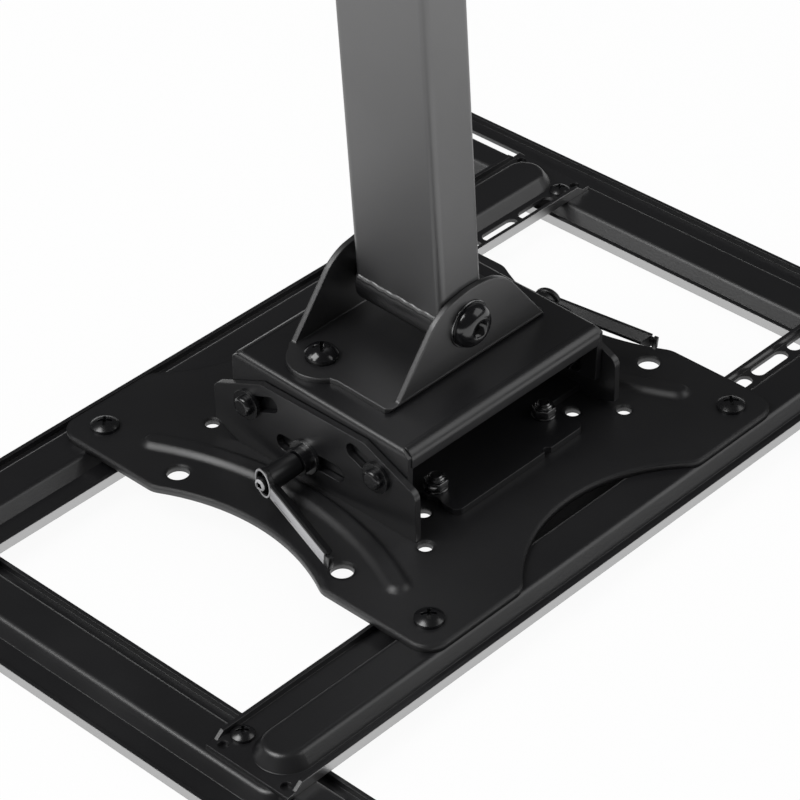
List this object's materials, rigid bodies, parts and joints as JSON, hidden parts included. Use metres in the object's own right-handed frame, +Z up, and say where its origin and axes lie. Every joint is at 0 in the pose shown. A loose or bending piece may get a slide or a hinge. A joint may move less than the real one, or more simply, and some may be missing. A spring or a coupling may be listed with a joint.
{
  "type": "tv mount",
  "caption": "Pole-mounted tilting screen bracket with a scalloped hole-pattern plate, slotted bars and rails, and two clamping levers.",
  "frame": {"origin": "on the floor plane under the rails, centred under the screen plate", "axes": "+Z up from the screen plate towards the pole, +X along the rails towards the side with the pivot bolt's head, +Y along the upright bars"},
  "size_m": [0.32, 0.347, 0.2626],
  "materials": {
    "powder_coat": "fine-textured semi-matte black powder coat",
    "black_fastener": "smooth semi-gloss black oxide",
    "dark_zinc": "dark zinc plate, satin",
    "lever_handle": "satin black moulded plastic"
  },
  "bodies": {
    "base": {"vesa_plate": "powder_coat", "left_bar": "powder_coat", "right_bar": "powder_coat", "front_rail": "powder_coat", "rear_rail": "powder_coat", "tip_screws": "black_fastener", "rail_screws": "black_fastener", "tilt_cradle": "powder_coat", "cradle_bolts": "black_fastener", "cradle_washers": "black_fastener", "cradle_nuts": "black_fastener", "guide_pins": "dark_zinc", "guide_washers": "black_fastener", "guide_nuts": "black_fastener", "front_lever_washer": "black_fastener", "rear_lever_washer": "black_fastener"},
    "head": {"tilt_channel": "powder_coat", "yoke_bracket": "powder_coat", "yoke_bolts": "black_fastener", "yoke_nuts": "black_fastener", "pivot_bolt": "black_fastener", "pivot_washers": "black_fastener", "pivot_nut": "black_fastener", "front_stud_nut": "black_fastener", "rear_stud_nut": "black_fastener"},
    "pole": {"pivot_barrel": "powder_coat", "pole_tube": "powder_coat"},
    "front_insert": {"front_lever_insert": "black_fastener", "front_lever_screw": "black_fastener"},
    "front_handle": {"front_lever_handle": "lever_handle"},
    "rear_insert": {"rear_lever_insert": "black_fastener", "rear_lever_screw": "black_fastener"},
    "rear_handle": {"rear_lever_handle": "lever_handle"}
  },
  "joints": [
    {"name": "head_tilt", "type": "hinge", "parent": "base", "child": "head", "pos_m": [-0.0032, 0, 0.0258], "axis": [0, 1, 0], "range_deg": [-10.1, 5.9]},
    {"name": "pole_swing", "type": "hinge", "parent": "head", "child": "pole", "pos_m": [0.00149, 0, 0.06646], "axis": [0.9993, 0, -0.0366], "range_deg": [-85, 75]},
    {"name": "front_lever_turn", "type": "hinge", "parent": "base", "child": "front_insert", "pos_m": [-0.0032, -0.0535, 0.0258], "axis": [0, 1, 0], "range_deg": [-170, 0]},
    {"name": "front_lever_pull", "type": "slide", "parent": "front_insert", "child": "front_handle", "axis": [0, -1, 0], "range_m": [0, 0.0035], "stiffness_N_per_m": 600, "springref_m": -0.002},
    {"name": "rear_lever_turn", "type": "hinge", "parent": "base", "child": "rear_insert", "pos_m": [-0.0032, 0.0535, 0.0258], "axis": [0, 1, 0], "range_deg": [-170, 0]},
    {"name": "rear_lever_pull", "type": "slide", "parent": "rear_insert", "child": "rear_handle", "axis": [0, 1, 0], "range_m": [0, 0.0035], "stiffness_N_per_m": 600, "springref_m": -0.002}
  ]
}
